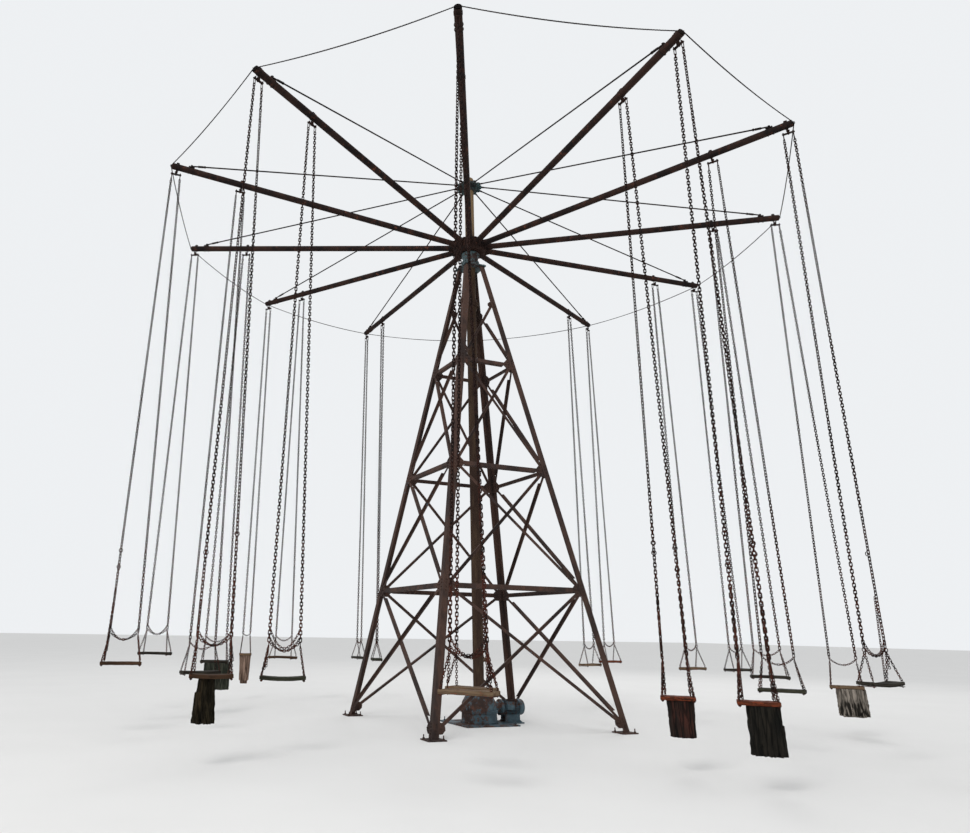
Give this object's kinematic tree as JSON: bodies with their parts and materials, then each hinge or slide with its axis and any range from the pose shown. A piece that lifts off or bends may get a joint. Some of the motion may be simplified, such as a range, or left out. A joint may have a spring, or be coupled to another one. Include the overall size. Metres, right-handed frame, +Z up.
{
  "type": "circle swing ride",
  "caption": "Fairground circle swing: pipe arms on a lattice tower carry board seats hung on long chains.",
  "frame": {"origin": "on the mast's axis at ground level, on the drive base's underside", "axes": "+Z up along the mast; the tower's sides face +X, +Y, -X and -Y; an arm lies along each"},
  "size_m": [11.1942, 11.1347, 9.57],
  "materials": {
    "tower_steel": "rusted angle iron with traces of paint",
    "teal_paint": "worn teal paint over rust",
    "mast_steel": "tan-brown rusted pipe",
    "pipe_steel": "dark rusted pipe",
    "stay_steel": "dark rusted rod and cable",
    "chain_steel": "red-brown rusted chain",
    "board_wood": "weathered board",
    "log_wood": "dark rough log"
  },
  "bodies": {
    "tower": {"tower_leg_1": "tower_steel", "tower_side_1": "tower_steel", "tower_leg_2": "tower_steel", "tower_side_2": "tower_steel", "tower_leg_3": "tower_steel", "tower_side_3": "tower_steel", "tower_leg_4": "tower_steel", "tower_side_4": "tower_steel", "bearing_housing": "teal_paint", "drive_base": "teal_paint"},
    "rotor": {"mast": "mast_steel", "hub": "pipe_steel", "arm_1": "pipe_steel", "arm_2": "pipe_steel", "arm_3": "pipe_steel", "arm_4": "pipe_steel", "arm_5": "pipe_steel", "arm_6": "pipe_steel", "arm_7": "pipe_steel", "arm_8": "pipe_steel", "arm_9": "pipe_steel", "arm_10": "pipe_steel", "arm_11": "pipe_steel", "arm_12": "pipe_steel", "collar_and_stays": "stay_steel", "rim_cable": "stay_steel"},
    "outer_swing_1": {"outer_swing_1": "chain_steel"},
    "outer_swing_2": {"outer_swing_2": "chain_steel", "outer_log_2": "log_wood"},
    "outer_swing_3": {"outer_swing_3": "chain_steel"},
    "outer_swing_4": {"outer_swing_4": "chain_steel", "outer_log_4": "log_wood"},
    "outer_swing_5": {"outer_swing_5": "chain_steel"},
    "outer_swing_6": {"outer_swing_6": "chain_steel"},
    "outer_swing_7": {"outer_swing_7": "chain_steel"},
    "outer_swing_8": {"outer_swing_8": "chain_steel"},
    "outer_swing_9": {"outer_swing_9": "chain_steel", "outer_log_9": "log_wood"},
    "outer_swing_10": {"outer_swing_10": "chain_steel"},
    "outer_swing_11": {"outer_swing_11": "chain_steel"},
    "outer_swing_12": {"outer_swing_12": "chain_steel", "outer_log_12": "log_wood"},
    "inner_swing_1": {"inner_swing_1": "chain_steel"},
    "inner_swing_2": {"inner_swing_2": "chain_steel", "inner_log_2": "log_wood"},
    "inner_swing_3": {"inner_swing_3": "chain_steel"},
    "inner_swing_4": {"inner_swing_4": "chain_steel"},
    "inner_swing_5": {"inner_swing_5": "chain_steel"},
    "inner_swing_6": {"inner_swing_6": "chain_steel"},
    "inner_swing_7": {"inner_swing_7": "chain_steel"},
    "inner_swing_8": {"inner_swing_8": "chain_steel"},
    "inner_swing_9": {"inner_swing_9": "chain_steel"},
    "inner_swing_10": {"inner_swing_10": "chain_steel", "inner_log_10": "log_wood"},
    "inner_swing_11": {"inner_swing_11": "chain_steel"},
    "inner_swing_12": {"inner_swing_12": "chain_steel"}
  },
  "joints": [
    {"name": "rotor_turn", "type": "hinge", "parent": "tower", "child": "rotor", "pos_m": [0, 0, 0.42], "axis": [0, 0, 1], "continuous": true},
    {"name": "outer_swing_1_tilt", "type": "hinge", "parent": "rotor", "child": "outer_swing_1", "pos_m": [-2.664, -4.61418, 8.29704], "axis": [-0.866, 0.5, 0], "range_deg": [-6, 30]},
    {"name": "outer_swing_2_tilt", "type": "hinge", "parent": "rotor", "child": "outer_swing_2", "pos_m": [0, -5.328, 8.29704], "axis": [-1, 0, 0], "range_deg": [-6, 30]},
    {"name": "outer_swing_3_tilt", "type": "hinge", "parent": "rotor", "child": "outer_swing_3", "pos_m": [2.664, -4.61418, 8.29704], "axis": [-0.866, -0.5, 0], "range_deg": [-6, 30]},
    {"name": "outer_swing_4_tilt", "type": "hinge", "parent": "rotor", "child": "outer_swing_4", "pos_m": [4.61418, -2.664, 8.29704], "axis": [-0.5, -0.866, 0], "range_deg": [-6, 30]},
    {"name": "outer_swing_5_tilt", "type": "hinge", "parent": "rotor", "child": "outer_swing_5", "pos_m": [5.328, 0, 8.29704], "axis": [0, -1, 0], "range_deg": [-6, 30]},
    {"name": "outer_swing_6_tilt", "type": "hinge", "parent": "rotor", "child": "outer_swing_6", "pos_m": [4.61418, 2.664, 8.29704], "axis": [0.5, -0.866, 0], "range_deg": [-6, 30]},
    {"name": "outer_swing_7_tilt", "type": "hinge", "parent": "rotor", "child": "outer_swing_7", "pos_m": [2.664, 4.61418, 8.29704], "axis": [0.866, -0.5, 0], "range_deg": [-6, 30]},
    {"name": "outer_swing_8_tilt", "type": "hinge", "parent": "rotor", "child": "outer_swing_8", "pos_m": [0, 5.328, 8.29704], "axis": [1, 0, 0], "range_deg": [-6, 30]},
    {"name": "outer_swing_9_tilt", "type": "hinge", "parent": "rotor", "child": "outer_swing_9", "pos_m": [-2.664, 4.61418, 8.29704], "axis": [0.866, 0.5, 0], "range_deg": [-6, 30]},
    {"name": "outer_swing_10_tilt", "type": "hinge", "parent": "rotor", "child": "outer_swing_10", "pos_m": [-4.61418, 2.664, 8.29704], "axis": [0.5, 0.866, 0], "range_deg": [-6, 30]},
    {"name": "outer_swing_11_tilt", "type": "hinge", "parent": "rotor", "child": "outer_swing_11", "pos_m": [-5.328, 0, 8.29704], "axis": [0, 1, 0], "range_deg": [-6, 30]},
    {"name": "outer_swing_12_tilt", "type": "hinge", "parent": "rotor", "child": "outer_swing_12", "pos_m": [-4.61418, -2.664, 8.29704], "axis": [-0.5, 0.866, 0], "range_deg": [-6, 30]},
    {"name": "inner_swing_1_tilt", "type": "hinge", "parent": "rotor", "child": "inner_swing_1", "pos_m": [-2.143, -3.71178, 8.23973], "axis": [-0.866, 0.5, 0], "range_deg": [-5.1, 25.5]},
    {"name": "inner_swing_2_tilt", "type": "hinge", "parent": "rotor", "child": "inner_swing_2", "pos_m": [0, -4.286, 8.23973], "axis": [-1, 0, 0], "range_deg": [-5.1, 25.5]},
    {"name": "inner_swing_3_tilt", "type": "hinge", "parent": "rotor", "child": "inner_swing_3", "pos_m": [2.143, -3.71178, 8.23973], "axis": [-0.866, -0.5, 0], "range_deg": [-5.1, 25.5]},
    {"name": "inner_swing_4_tilt", "type": "hinge", "parent": "rotor", "child": "inner_swing_4", "pos_m": [3.71178, -2.143, 8.23973], "axis": [-0.5, -0.866, 0], "range_deg": [-5.1, 25.5]},
    {"name": "inner_swing_5_tilt", "type": "hinge", "parent": "rotor", "child": "inner_swing_5", "pos_m": [4.286, 0, 8.23973], "axis": [0, -1, 0], "range_deg": [-5.1, 25.5]},
    {"name": "inner_swing_6_tilt", "type": "hinge", "parent": "rotor", "child": "inner_swing_6", "pos_m": [3.71178, 2.143, 8.23973], "axis": [0.5, -0.866, 0], "range_deg": [-5.1, 25.5]},
    {"name": "inner_swing_7_tilt", "type": "hinge", "parent": "rotor", "child": "inner_swing_7", "pos_m": [2.143, 3.71178, 8.23973], "axis": [0.866, -0.5, 0], "range_deg": [-5.1, 25.5]},
    {"name": "inner_swing_8_tilt", "type": "hinge", "parent": "rotor", "child": "inner_swing_8", "pos_m": [0, 4.286, 8.23973], "axis": [1, 0, 0], "range_deg": [-5.1, 25.5]},
    {"name": "inner_swing_9_tilt", "type": "hinge", "parent": "rotor", "child": "inner_swing_9", "pos_m": [-2.143, 3.71178, 8.23973], "axis": [0.866, 0.5, 0], "range_deg": [-5.1, 25.5]},
    {"name": "inner_swing_10_tilt", "type": "hinge", "parent": "rotor", "child": "inner_swing_10", "pos_m": [-3.71178, 2.143, 8.23973], "axis": [0.5, 0.866, 0], "range_deg": [-5.1, 25.5]},
    {"name": "inner_swing_11_tilt", "type": "hinge", "parent": "rotor", "child": "inner_swing_11", "pos_m": [-4.286, 0, 8.23973], "axis": [0, 1, 0], "range_deg": [-5.1, 25.5]},
    {"name": "inner_swing_12_tilt", "type": "hinge", "parent": "rotor", "child": "inner_swing_12", "pos_m": [-3.71178, -2.143, 8.23973], "axis": [-0.5, 0.866, 0], "range_deg": [-5.1, 25.5]}
  ],
  "couplings": [
    {"joint": "outer_swing_1_tilt", "follows": "outer_swing_2_tilt", "ratio": 1},
    {"joint": "outer_swing_3_tilt", "follows": "outer_swing_2_tilt", "ratio": 1},
    {"joint": "outer_swing_4_tilt", "follows": "outer_swing_2_tilt", "ratio": 1},
    {"joint": "outer_swing_5_tilt", "follows": "outer_swing_2_tilt", "ratio": 1},
    {"joint": "outer_swing_6_tilt", "follows": "outer_swing_2_tilt", "ratio": 1},
    {"joint": "outer_swing_7_tilt", "follows": "outer_swing_2_tilt", "ratio": 1},
    {"joint": "outer_swing_8_tilt", "follows": "outer_swing_2_tilt", "ratio": 1},
    {"joint": "outer_swing_9_tilt", "follows": "outer_swing_2_tilt", "ratio": 1},
    {"joint": "outer_swing_10_tilt", "follows": "outer_swing_2_tilt", "ratio": 1},
    {"joint": "outer_swing_11_tilt", "follows": "outer_swing_2_tilt", "ratio": 1},
    {"joint": "outer_swing_12_tilt", "follows": "outer_swing_2_tilt", "ratio": 1},
    {"joint": "inner_swing_1_tilt", "follows": "outer_swing_2_tilt", "ratio": 0.85},
    {"joint": "inner_swing_2_tilt", "follows": "outer_swing_2_tilt", "ratio": 0.85},
    {"joint": "inner_swing_3_tilt", "follows": "outer_swing_2_tilt", "ratio": 0.85},
    {"joint": "inner_swing_4_tilt", "follows": "outer_swing_2_tilt", "ratio": 0.85},
    {"joint": "inner_swing_5_tilt", "follows": "outer_swing_2_tilt", "ratio": 0.85},
    {"joint": "inner_swing_6_tilt", "follows": "outer_swing_2_tilt", "ratio": 0.85},
    {"joint": "inner_swing_7_tilt", "follows": "outer_swing_2_tilt", "ratio": 0.85},
    {"joint": "inner_swing_8_tilt", "follows": "outer_swing_2_tilt", "ratio": 0.85},
    {"joint": "inner_swing_9_tilt", "follows": "outer_swing_2_tilt", "ratio": 0.85},
    {"joint": "inner_swing_10_tilt", "follows": "outer_swing_2_tilt", "ratio": 0.85},
    {"joint": "inner_swing_11_tilt", "follows": "outer_swing_2_tilt", "ratio": 0.85},
    {"joint": "inner_swing_12_tilt", "follows": "outer_swing_2_tilt", "ratio": 0.85}
  ]
}
